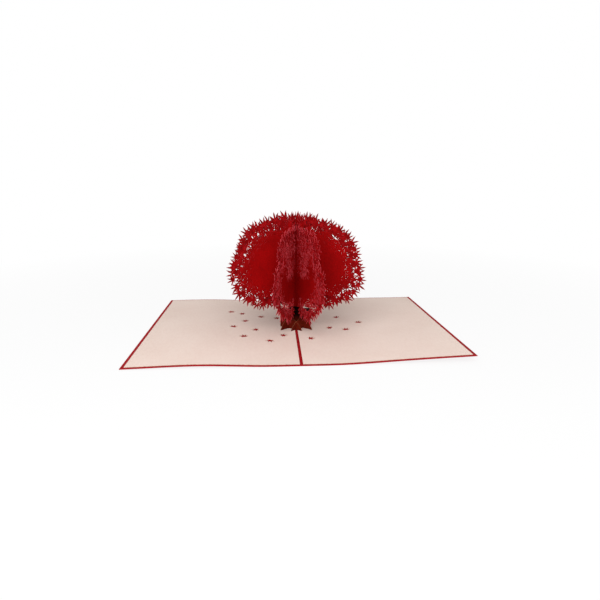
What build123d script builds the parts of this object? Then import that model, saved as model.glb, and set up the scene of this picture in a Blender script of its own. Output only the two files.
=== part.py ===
from build123d import *
from math import cos, radians, sin, tan
import os
import random

# Open pop-up card: a folded cover, two inner panels and a slotted maple tree.
# The spine runs along Y, the front is -Y, and the card rests on Z = 0.

# Card
panel_width = 127.0  # spine to fore edge
card_depth = 177.8  # along the spine
cover_thickness = 0.4
panel_thickness = 0.3
spine_gap = 2.4  # strip of cover left bare between the inner panels
fore_border = 2.6  # cover left bare at the fore edges
end_border = 2.2  # cover left bare at the front and back ends
crease_width = 0.7  # score along the spine
crease_depth = 0.12
flat_half = 18.0  # the card lies flat this far to each side of the spine
curl_middle = 70.0  # where the curl of each half is measured between spine and fore edge
front_curl = {"left": (1.6, 0.4), "right": (2.1, 4.7)}  # height at curl_middle, at fore edge
back_curl = {"left": (2.4, 2.5), "right": (2.0, 2.5)}
fore_edge_slope = {"left": 0.02, "right": 0.04}  # how steeply the curl meets each fore edge

# Small leaves cut through the inner panels: x, y, turn
left_cutouts = [
    (-60.0, 42.0, 15), (-48.5, 38.0, 70), (-32.0, 29.0, -30), (-15.5, 26.0, 100), (-44.5, 15.0, 40),
    (-55.0, -2.5, -15), (-34.0, -8.0, 95), (-44.0, -27.0, 20), (-12.5, -24.0, -60), (-22.0, -35.0, 150),
]
right_cutouts = [
    (40.0, 23.0, 35), (56.5, 3.5, -20), (30.5, -6.5, 60), (43.0, -14.0, 10), (10.0, -32.5, -75),
]
cutout_reach = 6.0  # leaf centre to longest tip

# A maple leaf, in shares of its reach
leaf_lobes = [(0, 1.0), (36, 0.93), (74, 0.78), (116, 0.52)]  # angle off the middle lobe, length
leaf_notch_share = 0.36  # notch between two lobes, as a share of the shorter one
leaf_core = 0.1
leaf_stalk_notch = 0.12

# Trunk: four slices in a slanted grid round the tree's axis
tree_y = -4.5  # the axis stands a little in front of the card's middle
slice_angle = 38.6  # slices run this far off the X axis
slice_offset = 3.8  # axis to the middle of each slice
slice_thickness = 0.3
stem_top = 60.0
shoulder_height = 17.0
short_reach = 6.1  # slice end beyond its nearer crossing, at the foot
long_reach = 9.6
root_height = 9.8
root_bend_run = 0.4  # the hollow of a root's edge, as shares of its run and height
root_bend_rise = 0.62
shoulder_drop = 2.0  # the shoulder slopes down this much from the stem
shoulder_batter = 1.0  # and its end leans in this much
lap_height = 8.0  # where crossing slices meet in their half laps
front_lap_height = 4.0
slot_width = 0.6
stem_width = 2.6  # stem left on a front slice above its root
stem_overrun = 0.1  # stem edge beyond the crossing
tab_width = 2.2
tab_inset = 0.9  # slice end to tab
slit_clearance = 0.15

# Canopy: four sheets glued to the outside of the slices, each bent at two crossings
sheet_thickness = 0.3
arm_angle = 22.5  # arms stand this far off the X and Y axes
canopy_lap_height = 53.0
canopy_slot = 1.3
wall_foot = 22.0
body_inset = 7.4  # smooth area stops this far inside the row of edge leaves
row_step = 5.4  # between the two rows of leaves
body_steps = 12  # points along the smooth area's edge
row_scatter = 1.6  # how far a leaf strays from its row
row_stray = 0.2  # how far a leaf strays along its row, as a share of the spacing
leaf_spacing = 5.4
leaf_sizes = [5.2, 6.0, 6.8]  # leaf centre to longest tip
leaf_turn = 32.0  # largest turn of a leaf off the outward direction
leaf_clear = 0.65  # leaves stop this far from a bend, clear of the sheet that crosses there
wall_leaf_turns = [18, -6, -24]  # leaves along the top of each wall
leaf_seed = 7

# Middle line of the edge leaves, as (distance from the crossing, height)
front_arm_edge = [
    (10, 17), (23, 18), (38, 26), (49, 42), (47, 54), (37, 65), (36, 78), (22, 83), (4, 83),
]
side_arm_edge = [
    (8, 24), (22, 24), (36, 29), (48, 41), (50, 55), (43, 74), (28, 87), (4, 92),
]

panel_floor = cover_thickness + panel_thickness  # where the trunk stands
half_depth = card_depth / 2
cutter_length = 200.0  # longer than any slot, slit or trim needs


def leaf_points(reach):
    # Seven pointed lobes round a centre, the longest at +Y and the shortest beside the stalk.
    tips = [(-turn, share) for turn, share in leaf_lobes[:0:-1]] + leaf_lobes
    points = []
    for (turn, share), (next_turn, next_share) in zip(tips, tips[1:]):
        points.append((turn, share))
        points.append(((turn + next_turn) / 2, leaf_notch_share * min(share, next_share) + leaf_core))
    points.append(tips[-1])
    points.append((180, leaf_stalk_notch))
    polar = [(reach * share, radians(turn)) for turn, share in points]
    return [(-radius * sin(turn), radius * cos(turn)) for radius, turn in polar]


def curl_line(curl, lift):
    # One edge of the card's section: flat at the spine, curling up to both fore edges.
    left_middle, left_end = curl["left"]
    right_middle, right_end = curl["right"]
    left_edge = (-panel_width, left_end + lift)
    right_edge = (panel_width, right_end + lift)
    left_run = (1, fore_edge_slope["left"])
    right_run = (1, fore_edge_slope["right"])
    left_bow = (-curl_middle, left_middle + lift)
    right_bow = (curl_middle, right_middle + lift)
    Spline(left_edge, left_bow, (-flat_half, lift), tangents=[left_run, (1, 0)])
    Line((-flat_half, lift), (flat_half, lift))
    Spline((flat_half, lift), right_bow, right_edge, tangents=[(1, 0), right_run])
    return left_edge, right_edge


def curled_layer(lift, thickness):
    # A sheet of the card's full size that follows the curl, from lift up by its thickness.
    with BuildPart() as layer:
        for y, curl in ((-half_depth, front_curl), (half_depth, back_curl)):
            with BuildSketch(Plane.XZ.offset(-y)):
                with BuildLine():
                    low_ends = curl_line(curl, lift)
                    high_ends = curl_line(curl, lift + thickness)
                    for low, high in zip(low_ends, high_ends):
                        Line(low, high)
                make_face()
        loft(ruled=True)
    return layer.part


def slice_plane(side, front, offset):
    # The upright plane of a slice. side is -1 or 1 for the end it points to at the back, and
    # front is 1 for the slices nearest the front. Its x runs backwards along the slice.
    along = Vector(side * cos(radians(slice_angle)), sin(radians(slice_angle)), 0)
    outward = front * Vector(side * sin(radians(slice_angle)), -cos(radians(slice_angle)), 0)
    origin = Vector(0, tree_y, 0) + outward * offset
    return Plane(origin=origin, x_dir=along, z_dir=along.cross(Vector(0, 0, 1)))


def spine_crossing(offset):
    return offset * tan(radians(slice_angle))


def side_crossing(offset):
    return offset / tan(radians(slice_angle))


def tab_spans(start, end):
    first = start + tab_inset
    last = end - tab_inset
    return [(first, first + tab_width), (last - tab_width, last)]


slices = {
    "trunk_front_left_slice": (1, 1),
    "trunk_front_right_slice": (-1, 1),
    "trunk_side_left_slice": (1, -1),
    "trunk_side_right_slice": (-1, -1),
}


def slice_span(front):
    # Both ends of a slice at its foot, measured along it from beside the axis.
    short_end = spine_crossing(slice_offset) + short_reach
    long_end = side_crossing(slice_offset) + long_reach
    return (-short_end, long_end) if front > 0 else (-long_end, short_end)


os.makedirs("parts", exist_ok=True)

# Cover
with BuildPart() as cover:
    add(curled_layer(0, cover_thickness))
    with BuildSketch(Plane.XZ.offset(-half_depth)):
        with BuildLine():
            Polyline(
                (-crease_width / 2, cover_thickness),
                (0, cover_thickness - crease_depth),
                (crease_width / 2, cover_thickness),
                close=True,
            )
        make_face()
    extrude(amount=card_depth, mode=Mode.SUBTRACT)
cover.part.label = "cover"
export_step(cover.part, "parts/cover.step")

# Inner panels
panel_span = panel_width - fore_border - spine_gap / 2
panel_middle = (panel_width - fore_border + spine_gap / 2) / 2
panels = (("left_inner_panel", -1, left_cutouts), ("right_inner_panel", 1, right_cutouts))
for name, hand, cutouts in panels:
    with BuildPart() as inner_panel:
        add(curled_layer(cover_thickness, panel_thickness))
        with BuildSketch(Plane.XY):
            with Locations((hand * panel_middle, 0)):
                Rectangle(panel_span, card_depth - 2 * end_border)
        extrude(amount=cutter_length, mode=Mode.INTERSECT)
        with BuildSketch(Plane.XY):
            for x, y, turn in cutouts:
                with Locations(Location((x, y, 0), (0, 0, turn))):
                    Polygon(*leaf_points(cutout_reach), align=None)
            for side, front in slices.values():
                foot = slice_plane(side, front, slice_offset)
                for start, end in tab_spans(*slice_span(front)):
                    place = foot.from_local_coords(Vector((start + end) / 2, 0, 0))
                    if place.X * hand > 0:
                        with Locations(Location((place.X, place.Y, 0), (0, 0, side * slice_angle))):
                            Rectangle(tab_width + 2 * slit_clearance, slice_thickness + 2 * slit_clearance)
        extrude(amount=cutter_length, mode=Mode.SUBTRACT)
    inner_panel.part.label = name
    export_step(inner_panel.part, f"parts/{name}.step")

# Trunk slices
for name, (side, front) in slices.items():
    start, end = slice_span(front)
    near = spine_crossing(slice_offset)
    far = side_crossing(slice_offset)
    crossings = (-near, far) if front > 0 else (-far, near)
    laps = (front_lap_height, lap_height) if front > 0 else (lap_height, lap_height)
    stem_back = crossings[1] + stem_overrun
    stem_front = stem_back - stem_width if front > 0 else crossings[0] - stem_overrun
    root_bend = panel_floor + root_bend_rise * root_height
    root_top = panel_floor + root_height
    with BuildPart() as trunk_slice:
        with BuildSketch(slice_plane(side, front, slice_offset)):
            with BuildLine():
                Spline(
                    (start, panel_floor),
                    (start + root_bend_run * (stem_front - start), root_bend),
                    (stem_front, root_top),
                )
                Polyline(
                    (stem_front, root_top),
                    (stem_front, stem_top),
                    (stem_back, stem_top),
                    (stem_back, shoulder_height + shoulder_drop),
                    (end - shoulder_batter, shoulder_height),
                    (end, panel_floor),
                    (start, panel_floor),
                )
            make_face()
            for tab_start, tab_end in tab_spans(start, end):
                with Locations(((tab_start + tab_end) / 2, cover_thickness)):
                    Rectangle(tab_width, panel_thickness, align=(Align.CENTER, Align.MIN))
            for crossing, lap in zip(crossings, laps):
                with Locations((crossing, panel_floor + lap)):
                    slot_align = Align.MAX if side > 0 else Align.MIN
                    Rectangle(slot_width, cutter_length, align=(Align.CENTER, slot_align), mode=Mode.SUBTRACT)
        extrude(amount=slice_thickness / 2, both=True)
    trunk_slice.part.label = name
    export_step(trunk_slice.part, f"parts/{name}.step")


def leaf_row(edge, inset, dice):
    # One row of leaves, a fixed distance inside the arm's edge: a size and a place for each.
    count = round(edge.length / leaf_spacing)
    for number in range(count + 1):
        share = min(1, max(0, (number + dice.uniform(-row_stray, row_stray)) / count))
        run = edge.tangent_at(share)
        inward = Vector(-run.Y, run.X)
        scatter = dice.uniform(-row_scatter, row_scatter)
        place = edge.position_at(share) + inward * (inset + scatter)
        turn = Vector(0, 1).get_signed_angle(-inward) + dice.uniform(-leaf_turn, leaf_turn)
        yield dice.choice(leaf_sizes), Location((place.X, place.Y, 0), (0, 0, turn))


def smooth_area(edge):
    # The points of the plain area inside the rows of leaves.
    for number in range(body_steps + 1):
        run = edge.tangent_at(number / body_steps)
        point = edge.position_at(number / body_steps) + Vector(-run.Y, run.X) * body_inset
        yield point.X, point.Y


def wall_leaves(start, end, start_top, end_top):
    # Places for the leaves that stand on the top edge of a wall, evenly spread.
    for number, turn in enumerate(wall_leaf_turns):
        share = (number + 0.5) / len(wall_leaf_turns)
        height = start_top + (end_top - start_top) * share
        yield Location((start + (end - start) * share, height, 0), (0, 0, turn))


def trim_leaves(bend, outward):
    # Takes away what leaves reach past a bend; outward is the direction that is kept.
    with Locations((bend + outward * leaf_clear, 0)):
        trim_align = Align.MAX if outward > 0 else Align.MIN
        Rectangle(cutter_length, cutter_length, align=(trim_align, Align.CENTER), mode=Mode.SUBTRACT)


def cut_slot(crossing, from_below):
    # The half lap at a crossing, in the sheet's own plane.
    with Locations((crossing, canopy_lap_height)):
        slot_align = Align.MAX if from_below else Align.MIN
        Rectangle(canopy_slot, cutter_length, align=(Align.CENTER, slot_align), mode=Mode.SUBTRACT)


def lowered(plane):
    # The same plane moved back by half a sheet, so that the sheet is centred on it.
    return plane.offset(-sheet_thickness / 2)


sheets = {
    "canopy_front_left_sheet": (1, 1),
    "canopy_front_right_sheet": (-1, 1),
    "canopy_side_left_sheet": (1, -1),
    "canopy_side_right_sheet": (-1, -1),
}

# Canopy sheets
canopy_offset = slice_offset + (slice_thickness + sheet_thickness) / 2
for number, (name, (side, front)) in enumerate(sheets.items()):
    dice = random.Random(leaf_seed + number)
    wall = slice_plane(side, front, canopy_offset)
    near = spine_crossing(canopy_offset)
    far = side_crossing(canopy_offset)
    start, end = (-near, far) if front > 0 else (-far, near)
    steep = 90 - arm_angle
    start_angle, end_angle = (steep, arm_angle) if front > 0 else (arm_angle, steep)
    start_edge = front_arm_edge if front > 0 else side_arm_edge
    start_top, end_top = start_edge[-1][1], side_arm_edge[-1][1]
    from_below = side > 0
    with BuildPart() as sheet:
        with BuildSketch(lowered(wall)):
            with Locations(*wall_leaves(start, end, start_top, end_top)):
                Polygon(*leaf_points(min(leaf_sizes)), align=None)
            trim_leaves(start, 1)
            trim_leaves(end, -1)
            Polygon((start, wall_foot), (end, wall_foot), (end, end_top), (start, start_top), align=None)
            cut_slot(start, from_below)
            cut_slot(end, from_below)
        extrude(amount=sheet_thickness)
        arms = ((start, -1, start_angle, start_edge), (end, 1, end_angle, side_arm_edge))
        for crossing, sense, angle, edge_points in arms:
            corner = wall.from_local_coords(Vector(crossing, 0, 0))
            along = sense * Vector(side * cos(radians(angle)), sin(radians(angle)), 0)
            arm_plane = Plane(origin=corner, x_dir=along, z_dir=along.cross(Vector(0, 0, 1)))
            edge = Spline(*edge_points, mode=Mode.PRIVATE)
            leaves = list(leaf_row(edge, 0, dice)) + list(leaf_row(edge, row_step, dice))
            top = edge_points[-1][1]
            with BuildSketch(lowered(arm_plane)):
                for size in leaf_sizes:
                    with Locations(*[place for reach, place in leaves if reach == size]):
                        Polygon(*leaf_points(size), align=None)
                trim_leaves(0, 1)
                Polygon((0, wall_foot), *smooth_area(edge), (0, top), align=None)
                cut_slot(0, from_below)
            extrude(amount=sheet_thickness, clean=False)
            bend_foot = canopy_lap_height if from_below else wall_foot
            bend_top = top if from_below else canopy_lap_height
            with BuildSketch(Plane.XY.offset(bend_foot)):
                with Locations((corner.X, corner.Y)):
                    Circle(sheet_thickness / 2)
            extrude(amount=bend_top - bend_foot, clean=False)
    sheet.part.label = name
    export_step(sheet.part, f"parts/{name}.step")
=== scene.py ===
import math
import random
import bpy
from mathutils import Matrix, Vector
from mathutils.geometry import delaunay_2d_cdt


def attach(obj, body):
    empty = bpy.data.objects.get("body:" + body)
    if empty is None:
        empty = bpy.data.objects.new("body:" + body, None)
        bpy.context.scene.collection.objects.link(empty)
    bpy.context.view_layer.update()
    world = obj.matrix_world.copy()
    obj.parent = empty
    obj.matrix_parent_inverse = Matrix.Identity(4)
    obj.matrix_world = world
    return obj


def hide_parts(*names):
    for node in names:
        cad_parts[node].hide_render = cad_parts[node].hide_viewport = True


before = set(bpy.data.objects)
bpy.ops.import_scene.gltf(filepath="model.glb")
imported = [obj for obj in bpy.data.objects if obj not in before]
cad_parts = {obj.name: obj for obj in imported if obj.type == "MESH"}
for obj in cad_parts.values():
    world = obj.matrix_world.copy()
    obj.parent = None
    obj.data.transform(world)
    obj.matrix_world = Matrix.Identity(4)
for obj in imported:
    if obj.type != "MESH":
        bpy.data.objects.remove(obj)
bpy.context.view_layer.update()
mm = 0.001
print("frame loaded")


# Camera

camera = {
    "aim": (9.2, 93.1, 0.0),  # mm, where the lens axis meets the card's level
    "turn": -3.29,  # degrees round the card, 0 looks along the spine from the front
    "height": 14.91,  # degrees above the card
    "distance": 510.4,  # mm
    "lens": 28.33,
}


def makeCamera(values):
    turn, height = math.radians(values["turn"]), math.radians(values["height"])
    back = Vector((math.sin(turn) * math.cos(height), -math.cos(turn) * math.cos(height), math.sin(height)))
    cameraData = bpy.data.cameras.new("camera")
    cameraData.lens = values["lens"]
    cameraData.sensor_width = 36
    cameraData.clip_start = 0.01
    cameraObject = bpy.data.objects.new("camera", cameraData)
    cameraObject.location = (Vector(values["aim"]) + back * values["distance"]) * mm
    cameraObject.rotation_euler = back.to_track_quat("Z", "Y").to_euler()
    bpy.context.collection.objects.link(cameraObject)
    bpy.context.scene.camera = cameraObject


makeCamera(camera)
print("camera set")


# Shader helpers

class Wire:
    # A shader socket that can be used in plain arithmetic.
    def __init__(self, tree, socket, isColour=False):
        self.tree = tree
        self.socket = socket
        self.isColour = isColour

    def math(self, operation, first, second):
        if any(isinstance(side, Wire) and side.isColour for side in (first, second)):
            blends = {"ADD": "ADD", "SUBTRACT": "SUBTRACT", "MULTIPLY": "MULTIPLY"}
            maker = Shader(self.tree)
            settings = {"data_type": "RGBA", "blend_type": blends[operation]}
            return maker.node("ShaderNodeMix", settings, {0: 1.0, 6: asColour(first), 7: asColour(second)}, 2)
        return Shader(self.tree).node("ShaderNodeMath", {"operation": operation}, {0: first, 1: second})

    def __add__(self, other):
        return self.math("ADD", self, other)

    def __radd__(self, other):
        return self.math("ADD", other, self)

    def __sub__(self, other):
        return self.math("SUBTRACT", self, other)

    def __rsub__(self, other):
        return self.math("SUBTRACT", other, self)

    def __mul__(self, other):
        return self.math("MULTIPLY", self, other)

    def __rmul__(self, other):
        return self.math("MULTIPLY", other, self)

    def __gt__(self, other):
        return self.math("GREATER_THAN", self, other)

    def __lt__(self, other):
        return self.math("LESS_THAN", self, other)


def asColour(value):
    if isinstance(value, (int, float)):
        return (value, value, value, 1.0)
    if isinstance(value, tuple) and len(value) == 3:
        return (*value, 1.0)
    return value


class Shader:
    # Adds nodes to one material's tree.
    def __init__(self, tree):
        self.tree = tree

    def node(self, kind, settings=None, values=None, output=0):
        made = self.tree.nodes.new(kind)
        for name, value in (settings or {}).items():
            setattr(made, name, value)
        for key, value in (values or {}).items():
            self.feed(made.inputs[key], value)
        colourOutput = made.outputs[output].type == "RGBA"
        return Wire(self.tree, made.outputs[output], colourOutput)

    def feed(self, target, value):
        if isinstance(value, Wire):
            self.tree.links.new(value.socket, target)
        else:
            target.default_value = value

    def channel(self, vector, axis):
        return self.node("ShaderNodeSeparateXYZ", None, {0: vector}, axis)

    def ramp(self, factor, stops):
        made = self.tree.nodes.new("ShaderNodeValToRGB")
        while len(made.color_ramp.elements) < len(stops):
            made.color_ramp.elements.new(0.5)
        for element, (place, shade) in zip(made.color_ramp.elements, stops):
            element.position = place
            element.color = asColour(shade)
        self.feed(made.inputs[0], factor)
        return Wire(self.tree, made.outputs[0], True)

    def blend(self, factor, first, second):
        settings = {"data_type": "RGBA", "blend_type": "MIX"}
        return self.node("ShaderNodeMix", settings, {0: factor, 6: asColour(first), 7: asColour(second)}, 2)

    def noise(self, scale, detail=3.0, stretch=(1, 1, 1)):
        place = self.node("ShaderNodeTexCoord", None, None, 3)
        place = self.node("ShaderNodeMapping", None, {0: place, 3: stretch})
        return self.node("ShaderNodeTexNoise", None, {"Vector": place, "Scale": scale, "Detail": detail})


def newMaterial(name):
    material = bpy.data.materials.new(name)
    material.use_nodes = True
    tree = material.node_tree
    tree.nodes.clear()
    output = tree.nodes.new("ShaderNodeOutputMaterial")
    return material, Shader(tree), output


def cardMaterial(name, values, edgeMask=None, tint=None):
    # Uncoated card: soft mottling, short fibres, a faint tooth, and paler cut edges.
    material, shader, output = newMaterial(name)
    mottle = shader.noise(values["mottleScale"], 4.0)
    fibre = shader.noise(values["fibreScale"], 5.0, (1.0, 0.35, 1.0))
    speck = shader.noise(values["fibreScale"] * 2.6, 2.0, (0.4, 1.0, 1.0))
    tone = mottle * 0.6 + fibre * 0.4
    colour = shader.ramp(tone, [(0.3, values["dark"]), (0.52, values["colour"]), (0.72, values["light"])])
    colour = shader.blend((speck > 0.68) * values["speckle"], colour, values["fibreColour"])
    if edgeMask:
        mask = edgeMask(shader)
        edgeTone = shader.ramp(fibre, [(0.35, values["edgeDark"]), (0.65, values["edge"])])
        colour = shader.blend(mask, colour, edgeTone)
    if tint:
        colour = tint(shader, colour)
    bump = shader.node("ShaderNodeBump", None, {
        "Strength": values["tooth"], "Distance": 0.00008, "Height": fibre * 0.7 + speck * 0.3})
    bsdf = shader.node("ShaderNodeBsdfPrincipled", None, {
        "Base Color": colour,
        "Roughness": 0.14 * mottle + values["roughness"],
        "Normal": bump,
        "Specular IOR Level": values["specular"],
    })
    shader.tree.links.new(bsdf.socket, output.inputs[0])
    return material


# Canopy

canopy = {
    "sheetThickness": 0.3,
    "armAngle": 22.5,
    "wallAngle": 38.6,
    "axisY": -4.5,
    "wallOffset": 4.1,  # axis to the middle of each sheet's wall
    "lapHeight": 53.0,
    "slotHalf": 0.65,
    "foot": 22.0,
    "frontEdge": [(9, 19), (23, 20), (36, 28), (46, 42), (45, 54), (36, 65), (35, 78), (22, 84), (2, 84)],
    "sideEdge": [(9, 26), (22, 26), (35, 31), (45, 42), (47, 56), (41, 73), (28, 87), (2, 94)],
    "bodyInset": 5.4,
    "bodyRough": 1.4,
    "rows": [(0.0, 4.9), (4.0, 4.6)],  # inset of each row of leaves from the edge line, spacing along it
    "leafReach": (6.2, 8.2),
    "leafTurn": 30.0,
    "scatter": 1.8,
    "gapInset": (0.5, 9.0),  # where light shows between the leaves
    "gapSpacing": 5.2,
    "gapSize": (0.3, 0.8),
    "lowGapInsets": (5.0, 8.5, 12.0),  # more of it along the lower edge of the front arms
    "lowGapHeight": 31.0,
    "slitSpacing": 4.8,
    "slitInsets": {"front": (3, 7, 11, 15, 19, 23, 27, 31, 35), "side": (7.5, 11)},  # leaves drawn by slits
    "plainBelow": 52.0,  # between these heights only the outer slits of the front arms are there
    "plainAbove": 31.0,
    "plainInset": 12.0,
    "slitReach": (5.0, 7.0),
    "slitWidth": {"front": 0.34, "side": 0.2},
    "slitShare": {"front": 0.75, "side": 0.5},
    "wallLeaves": [(0.12, 20), (0.42, -12), (0.75, 9)],  # share of the wall's length, turn
    "wave": 0.5,  # how far the leafy rim bends out of its plane
    "seed": 11,
}
leafLobes = [(-116, 0.5), (-75, 0.78), (-37, 0.93), (0, 1.0), (37, 0.93), (75, 0.78), (116, 0.5)]


def polar(turn, radius):
    return Vector((-radius * math.sin(math.radians(turn)), radius * math.cos(math.radians(turn))))


def leafOutline(reach, dice):
    # A seven lobed leaf: every lobe is broad at its root and ends in a long point.
    points = []
    for (turn, share), following in zip(leafLobes, leafLobes[1:] + [None]):
        length = share * reach * dice.uniform(0.86, 1.08)
        turn = turn + dice.uniform(-5, 5)
        points.append(polar(turn - 12, length * 0.45))
        points.append(polar(turn - 6.5, length * 0.7))
        points.append(polar(turn, length))
        points.append(polar(turn + 6.5, length * 0.7))
        points.append(polar(turn + 12, length * 0.45))
        if following:
            notch = reach * (0.3 * min(share, following[1]) + 0.06)
            points.append(polar((turn + following[0]) / 2, notch))
    points.append(polar(180, 0.14 * reach))
    return points


def placed(points, spot, turn):
    spin = Matrix.Rotation(math.radians(turn), 2)
    return [spin @ point + spot for point in points]


def smoothCurve(points, steps=14):
    # Points of a curve through the given ones, evenly spaced.
    points = [Vector(point) for point in points]
    padded = [points[0] * 2 - points[1]] + points + [points[-1] * 2 - points[-2]]
    curve = []
    for before, first, second, after in zip(padded, padded[1:], padded[2:], padded[3:]):
        for step in range(steps):
            t = step / steps
            curve.append(0.5 * (2 * first + (second - before) * t
                                + (2 * before - 5 * first + 4 * second - after) * t * t
                                + (3 * first - before - 3 * second + after) * t ** 3))
    curve.append(points[-1])
    return curve


def alongCurve(curve, distance):
    # The place and the inward direction at a distance along the curve.
    for first, second in zip(curve, curve[1:]):
        step = (second - first).length
        if distance <= step or second is curve[-1]:
            run = (second - first).normalized()
            return first + run * distance, Vector((-run.y, run.x))
        distance -= step


def rowPlaces(curve, inset, spacing, dice):
    # Places along a row, a fixed distance inside the edge, each with its outward turn.
    length = sum((second - first).length for first, second in zip(curve, curve[1:]))
    count = round(length / spacing)
    for number in range(count + 1):
        distance = min(length, max(0, (number + dice.uniform(-0.25, 0.25)) * length / count))
        place, inward = alongCurve(curve, distance)
        place = place + inward * (inset + dice.uniform(-canopy["scatter"], canopy["scatter"]))
        outward = math.degrees(math.atan2(inward.x, -inward.y))
        yield place, outward + dice.uniform(-canopy["leafTurn"], canopy["leafTurn"])


def leafSlits(reach, arm, dice):
    # Slits that draw one side of a leaf's lobes.
    for turn, share in leafLobes:
        if dice.random() > canopy["slitShare"][arm]:
            continue
        side = dice.choice((-1, 1))
        length = share * reach
        root = polar(turn + 17 * side, length * 0.32)
        middle = polar(turn + 8 * side, length * 0.62)
        tip = polar(turn, length)
        across = (tip - root).orthogonal().normalized() * canopy["slitWidth"][arm]
        yield [root, middle, tip, middle + across, root + across * 0.5]


def gapOutline(dice):
    # A small drop shaped opening, left where the lobes of neighbouring leaves don't meet.
    half = dice.uniform(*canopy["gapSize"])
    length = half * dice.uniform(1.6, 3.2)
    return [Vector((0, -length)), Vector((half, -0.2 * length)), Vector((0.6 * half, 0.7 * length)),
            Vector((0, length)), Vector((-0.7 * half, 0.5 * length)), Vector((-half, -0.3 * length))]


def rectangle(low, high):
    corners = [(low[0], low[1]), (high[0], low[1]), (high[0], high[1]), (low[0], high[1])]
    return [Vector(corner) for corner in corners]


def cleanPolygon(points):
    area = sum(a.x * b.y - b.x * a.y for a, b in zip(points, points[1:] + points[:1]))
    return points if area > 0 else points[::-1]


def flatRegion(solid, cut):
    # Joins the solid outlines, takes the cut ones away and gives the triangles that are left.
    verts, faces = [], []
    for polygon in solid + cut:
        faces.append(list(range(len(verts), len(verts) + len(polygon))))
        verts.extend(cleanPolygon(polygon))
    result = delaunay_2d_cdt(verts, [], faces, 1, 1e-5)
    coords, triangles, owners = result[0], result[2], result[5]
    kept, rims = [], []
    for face, own in zip(triangles, owners):
        if own and max(own) < len(solid):
            kept.append(face)
            rims.append(0 not in own)  # the first outline is the smooth area
    used = sorted({index for face in kept for index in face})
    fresh = {index: number for number, index in enumerate(used)}
    kept = [[fresh[index] for index in face] for face in kept]
    return [coords[index] for index in used], kept, rims


def armOutlines(edgePoints, arm, fromBelow, dice):
    curve = smoothCurve(edgePoints)
    top = edgePoints[-1][1]
    solid, cut = [], []
    length = sum((second - first).length for first, second in zip(curve, curve[1:]))
    inner = []
    for number in range(29):
        place, inward = alongCurve(curve, length * number / 28)
        inner.append(place + inward * (canopy["bodyInset"] + dice.uniform(-1, 1) * canopy["bodyRough"]))
    solid.append([Vector((0, canopy["foot"]))] + inner + [Vector((0, top))])
    for inset, spacing in canopy["rows"]:
        for place, turn in rowPlaces(curve, inset, spacing, dice):
            outline = placed(leafOutline(dice.uniform(*canopy["leafReach"]), dice), place, turn)
            solid.append([Vector((max(0, point.x), point.y)) for point in outline])
    for inset in canopy["slitInsets"][arm]:
        for place, turn in rowPlaces(curve, inset, canopy["slitSpacing"], dice):
            plain = inset > canopy["plainInset"] and canopy["plainAbove"] < place.y < canopy["plainBelow"]
            for slit in leafSlits(dice.uniform(*canopy["slitReach"]), arm, dice):
                slit = placed(slit, place, turn)
                if min(point.x for point in slit) > 1.5 and not plain:
                    cut.append(slit)
    gaps = []
    for place, turn in rowPlaces(curve, 0, canopy["gapSpacing"], dice):
        inward = polar(turn + 180, dice.uniform(*canopy["gapInset"]))
        gaps.append(placed(gapOutline(dice), place + inward, turn))
    for inset in canopy["lowGapInsets"] if arm == "front" else ():
        for place, turn in rowPlaces(curve, inset, canopy["gapSpacing"], dice):
            if place.y < canopy["lowGapHeight"]:
                gaps.append(placed(gapOutline(dice), place, turn))
    cut.extend(gap for gap in gaps if min(point.x for point in gap) > 1.5)
    lap = canopy["lapHeight"]
    span = (0, lap) if fromBelow else (lap, 2 * lap)
    cut.append(rectangle((-1, span[0]), (canopy["slotHalf"], span[1])))
    return solid, cut


def wallOutlines(start, end, startTop, endTop, fromBelow, dice):
    foot = canopy["foot"]
    solid = [[Vector((start, foot)), Vector((end, foot)), Vector((end, endTop)), Vector((start, startTop))]]
    for share, turn in canopy["wallLeaves"]:
        place = Vector((start + (end - start) * share, startTop + (endTop - startTop) * share))
        outline = placed(leafOutline(dice.uniform(*canopy["leafReach"]), dice), place, turn)
        solid.append([Vector((min(end, max(start, point.x)), point.y)) for point in outline])
    lap = canopy["lapHeight"]
    span = (0, lap) if fromBelow else (lap, 2 * lap)
    half = canopy["slotHalf"]
    cut = [rectangle((place - half, span[0]), (place + half, span[1])) for place in (start, end)]
    return solid, cut


def rimWave(u, z, phase):
    # Out of plane bend: nothing at the smooth area, more towards the rim.
    rim = min(1.0, max(0.0, (math.hypot(u, (z - 54) * 0.95) - 22) / 22))
    ripple = math.sin(u * 0.62 + phase) * math.cos(z * 0.55 - phase)
    ripple += 0.6 * math.sin(u * 0.21 - z * 0.33 + phase * 2)
    return canopy["wave"] * rim * rim * ripple


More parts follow.
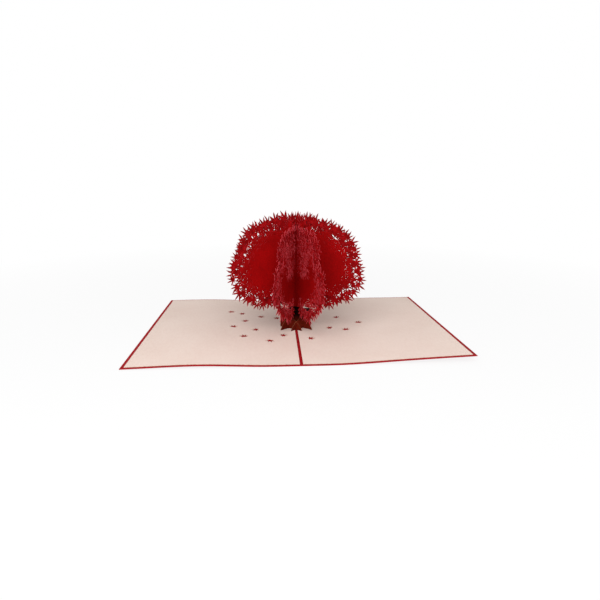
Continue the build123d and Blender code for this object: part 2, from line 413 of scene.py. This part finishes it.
def sheetMesh(name, side, front, seed):
    # One sheet: the wall between its two bends, and an arm beyond each bend.
    dice = random.Random(seed)
    angle = math.radians(canopy["wallAngle"])
    offset = canopy["wallOffset"]
    along = Vector((side * math.cos(angle), math.sin(angle), 0))
    outward = front * Vector((side * math.sin(angle), -math.cos(angle), 0))
    origin = Vector((0, canopy["axisY"], 0)) + outward * offset
    near, far = offset * math.tan(angle), offset / math.tan(angle)
    start, end = (-near, far) if front > 0 else (-far, near)
    steep = 90 - canopy["armAngle"]
    startAngle, endAngle = (steep, canopy["armAngle"]) if front > 0 else (canopy["armAngle"], steep)
    startEdge = canopy["frontEdge"] if front > 0 else canopy["sideEdge"]
    endEdge = canopy["sideEdge"]
    fromBelow = side > 0
    verts, faces, slots = [], [], []

    def addRegion(solid, cut, base, direction, phase):
        # Two skins half a thickness to each side of the plane, joined along every cut edge.
        coords, triangles, rims = flatRegion(solid, cut)
        normal = direction.cross(Vector((0, 0, 1)))
        half = canopy["sheetThickness"] / 2
        first = len(verts)
        for sign in (-1, 1):
            for point in coords:
                bend = rimWave(point.x, point.y, phase) if phase is not None else 0.0
                spot = base + direction * point.x + Vector((0, 0, point.y)) + normal * (bend + sign * half)
                verts.append(spot * mm)
        count = len(coords)
        edges = {}
        for triangle, isRim in zip(triangles, rims):
            faces.append([first + index for index in reversed(triangle)])
            faces.append([first + count + index for index in triangle])
            slots.extend((2, 2) if isRim else (0, 0))
            for a, b in zip(triangle, triangle[1:] + triangle[:1]):
                edges[(a, b)] = edges.get((a, b), 0) + 1
        for a, b in edges:
            if (b, a) not in edges:
                faces.append([first + a, first + b, first + count + b, first + count + a])
                slots.append(1)

    def corner(distance):
        return origin + along * distance

    solid, cut = wallOutlines(start, end, startEdge[-1][1], endEdge[-1][1], fromBelow, dice)
    addRegion(solid, cut, origin, along, None)
    startArm = "front" if front > 0 else "side"
    arms = ((start, -1, startAngle, startEdge, startArm), (end, 1, endAngle, endEdge, "side"))
    for place, sense, turn, edge, arm in arms:
        turn = math.radians(turn)
        direction = sense * Vector((side * math.cos(turn), math.sin(turn), 0))
        solid, cut = armOutlines(edge, arm, fromBelow, dice)
        addRegion(solid, cut, corner(place), direction, dice.uniform(0, 6))
    mesh = bpy.data.meshes.new(name)
    mesh.from_pydata(verts, [], faces)
    mesh.update()
    for face, slotNumber in zip(mesh.polygons, slots):
        face.material_index = slotNumber
    return mesh


leafCard = {
    "colour": (0.262, 0.0002, 0.0006), "dark": (0.19, 0.0001, 0.0003), "light": (0.33, 0.0008, 0.0014),
    "fibreColour": (0.36, 0.008, 0.011), "speckle": 0.3, "roughness": 0.74, "specular": 0.06,
    "mottleScale": 60.0, "fibreScale": 900.0, "tooth": 0.35,
}
leafRimShade = {  # what differs in the leafy rim: darker leaf-sized blotches, painted shade standing in for the light and shade that falls differently on each leaf
    "colour": (0.235, 0.0006, 0.0016), "dark": (0.10, 0.0001, 0.0004), "light": (0.36, 0.006, 0.009),
    "mottleScale": 330.0, "speckle": 0.45,
}
cutEdge = {
    "colour": (0.52, 0.045, 0.062), "dark": (0.34, 0.012, 0.018), "light": (0.70, 0.13, 0.15),
    "fibreColour": (0.7, 0.3, 0.3), "speckle": 0.25, "roughness": 0.75, "specular": 0.1,
    "mottleScale": 300.0, "fibreScale": 1500.0, "tooth": 0.3,
}
canopySheets = {
    "canopy_front_left_sheet": (1, 1),
    "canopy_front_right_sheet": (-1, 1),
    "canopy_side_left_sheet": (1, -1),
    "canopy_side_right_sheet": (-1, -1),
}
leafMaterial = cardMaterial("leafCard", leafCard)
# the leafy rim's card, with painted shade in leaf-sized blotches
rimShadeMaterial = cardMaterial("leafRimShadedCard", {**leafCard, **leafRimShade})
edgeMaterial = cardMaterial("leafCutEdge", cutEdge)
for number, (name, (side, front)) in enumerate(canopySheets.items()):
    mesh = sheetMesh(name, side, front, canopy["seed"] + number)
    mesh.materials.append(leafMaterial)
    mesh.materials.append(edgeMaterial)
    mesh.materials.append(rimShadeMaterial)
    sheet = bpy.data.objects.new(name.replace("canopy", "leafy"), mesh)
    bpy.context.collection.objects.link(sheet)
    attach(sheet, "root")
    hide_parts(name)
    print("canopy sheet", name, len(mesh.polygons))


# Card and trunk

coverCard = {
    "colour": (0.33, 0.0025, 0.006), "dark": (0.25, 0.0012, 0.003), "light": (0.40, 0.005, 0.010),
    "fibreColour": (0.5, 0.04, 0.05), "speckle": 0.3, "roughness": 0.64, "specular": 0.12,
    "mottleScale": 35.0, "fibreScale": 700.0, "tooth": 0.35,
    "edge": (0.45, 0.03, 0.04), "edgeDark": (0.3, 0.01, 0.015),
}
innerCard = {
    "colour": (0.86, 0.70, 0.62), "dark": (0.82, 0.65, 0.57), "light": (0.89, 0.74, 0.66),
    "fibreColour": (0.93, 0.83, 0.76), "speckle": 0.25, "roughness": 0.74, "specular": 0.12,
    "mottleScale": 22.0, "fibreScale": 650.0, "tooth": 0.3,
    "edge": (0.62, 0.42, 0.33), "edgeDark": (0.42, 0.25, 0.18),
}
trunkCard = {
    "colour": (0.105, 0.0065, 0.0018), "dark": (0.06, 0.003, 0.001), "light": (0.15, 0.013, 0.004),
    "fibreColour": (0.2, 0.04, 0.015), "speckle": 0.25, "roughness": 0.74, "specular": 0.05,
    "mottleScale": 120.0, "fibreScale": 900.0, "tooth": 0.35,
    "edge": (0.30, 0.11, 0.05), "edgeDark": (0.17, 0.05, 0.02),
    "stem": (0.007, 0.0006, 0.0004),  # painted shade: the stems above the roots are darkened to near black, standing for the shade under the canopy
    "rootTop": 0.0075,  # where the roots' colour starts giving way to the painted stem shade
    "stemFrom": 0.0115,
}


def standingEdge(shader):
    # The cut edges of a lying sheet: wherever its surface stands upright.
    normal = shader.node("ShaderNodeNewGeometry", None, None, 1)
    upward = shader.channel(normal, 2)
    return (upward * upward) < 0.5


def sliceEdge(side):
    # The cut edges of an upright slice: wherever its surface doesn't face along the slice's normal.
    angle = math.radians(canopy["wallAngle"])
    facing = (math.sin(angle), -side * math.cos(angle), 0)

    def mask(shader):
        normal = shader.node("ShaderNodeNewGeometry", None, None, 1)
        lined = shader.node("ShaderNodeVectorMath", {"operation": "DOT_PRODUCT"}, {0: normal, 1: facing}, 1)
        return (lined * lined) < 0.5
    return mask


def paintStemShade(shader, colour):
    # Paints shade on the trunk: darkens the stems above the roots towards near black, for the shade under the
    # canopy.
    height = shader.channel(shader.node("ShaderNodeNewGeometry"), 2)
    rise = shader.node("ShaderNodeMapRange", None, {
        0: height, 1: trunkCard["rootTop"], 2: trunkCard["stemFrom"], 3: 0.0, 4: 1.0})
    return shader.blend(rise, colour, trunkCard["stem"])


def dress(node, material):
    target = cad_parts[node]
    for index in range(max(1, len(target.material_slots))):
        if not target.material_slots:
            target.data.materials.append(material)
        target.material_slots[index].link = "OBJECT"
        target.material_slots[index].material = material


dress("cover", cardMaterial("coverCard", coverCard, standingEdge))
for hand in ("left", "right"):
    dress(hand + "_inner_panel", cardMaterial(hand + "InnerCard", innerCard, standingEdge))
trunkSlices = {"front_left": 1, "front_right": -1, "side_left": 1, "side_right": -1}
for name, side in trunkSlices.items():
    # the trunk slices' card, with painted shade darkening the stems above the roots
    trunkAndShade = cardMaterial("bark_" + name, trunkCard, sliceEdge(side), paintStemShade)
    dress("trunk_" + name + "_slice", trunkAndShade)
print("card and trunk dressed")


# Floor and light

studio = {
    "floorSize": 120.0,
    "floorGlow": 0.86,  # how much of the floor's white doesn't depend on the light, near the card
    "glowStart": 0.16,
    "glowEnd": 0.55,  # from here on it is all white
    "keyPower": 5.0,
    "fillPower": 1.6,
    "worldStrength": 0.45,
}


def whiteRays(shader):
    # Rays that see the backdrop rather than gather its light.
    camera = shader.node("ShaderNodeLightPath", None, None, 0)
    glossy = shader.node("ShaderNodeLightPath", None, None, 3)
    through = shader.node("ShaderNodeLightPath", None, None, 6)
    return shader.node("ShaderNodeMath", {"operation": "MAXIMUM"}, {
        0: camera, 1: shader.node("ShaderNodeMath", {"operation": "MAXIMUM"}, {0: glossy, 1: through})})


def makeFloor(values):
    half = values["floorSize"] / 2
    drop = -0.0002
    corners = [(-half, -half, drop), (half, -half, drop), (half, half, drop), (-half, half, drop)]
    mesh = bpy.data.meshes.new("floor")
    mesh.from_pydata(corners, [], [(0, 1, 2, 3)])
    floor = bpy.data.objects.new("floor", mesh)
    bpy.context.collection.objects.link(floor)
    material, shader, output = newMaterial("floor")
    place = shader.node("ShaderNodeNewGeometry")
    away = shader.node("ShaderNodeVectorMath", {"operation": "LENGTH"}, {0: place}, 1)
    glowing = shader.node("ShaderNodeMapRange", None, {
        0: away, 1: values["glowStart"], 2: values["glowEnd"], 3: values["floorGlow"], 4: 1.0})
    glow = shader.node("ShaderNodeEmission", None, {"Color": (1, 1, 1, 1), "Strength": 1.0})
    matt = shader.node("ShaderNodeBsdfDiffuse", None, {"Color": (0.9, 0.9, 0.9, 1)})
    mixed = shader.node("ShaderNodeMixShader", None, {0: whiteRays(shader) * glowing, 1: matt, 2: glow})
    shader.tree.links.new(mixed.socket, output.inputs[0])
    mesh.materials.append(material)


def makeWorld(values):
    world = bpy.data.worlds.new("world")
    bpy.context.scene.world = world
    world.use_nodes = True
    tree = world.node_tree
    tree.nodes.clear()
    shader = Shader(tree)
    output = tree.nodes.new("ShaderNodeOutputWorld")
    lit = shader.node("ShaderNodeBackground", None, {"Color": (1, 1, 1, 1), "Strength": values["worldStrength"]})
    seen = shader.node("ShaderNodeBackground", None, {"Color": (1, 1, 1, 1), "Strength": 1.0})
    mixed = shader.node("ShaderNodeMixShader", None, {0: whiteRays(shader), 1: lit, 2: seen})
    tree.links.new(mixed.socket, output.inputs[0])


def makeLamp(name, place, aim, size, power):
    lampData = bpy.data.lights.new(name, "AREA")
    lampData.shape = "SQUARE"
    lampData.size = size
    lampData.energy = power
    lamp = bpy.data.objects.new(name, lampData)
    lamp.location = place
    lamp.rotation_euler = (Vector(place) - Vector(aim)).to_track_quat("Z", "Y").to_euler()
    bpy.context.collection.objects.link(lamp)


makeFloor(studio)
makeWorld(studio)
makeLamp("key", (-0.12, -0.58, 0.38), (0, -0.02, 0.03), 0.75, studio["keyPower"])
makeLamp("fill", (0.8, -0.5, 0.6), (0, 0, 0.03), 0.9, studio["fillPower"])
bpy.context.scene.view_settings.view_transform = "Standard"
print("studio set")
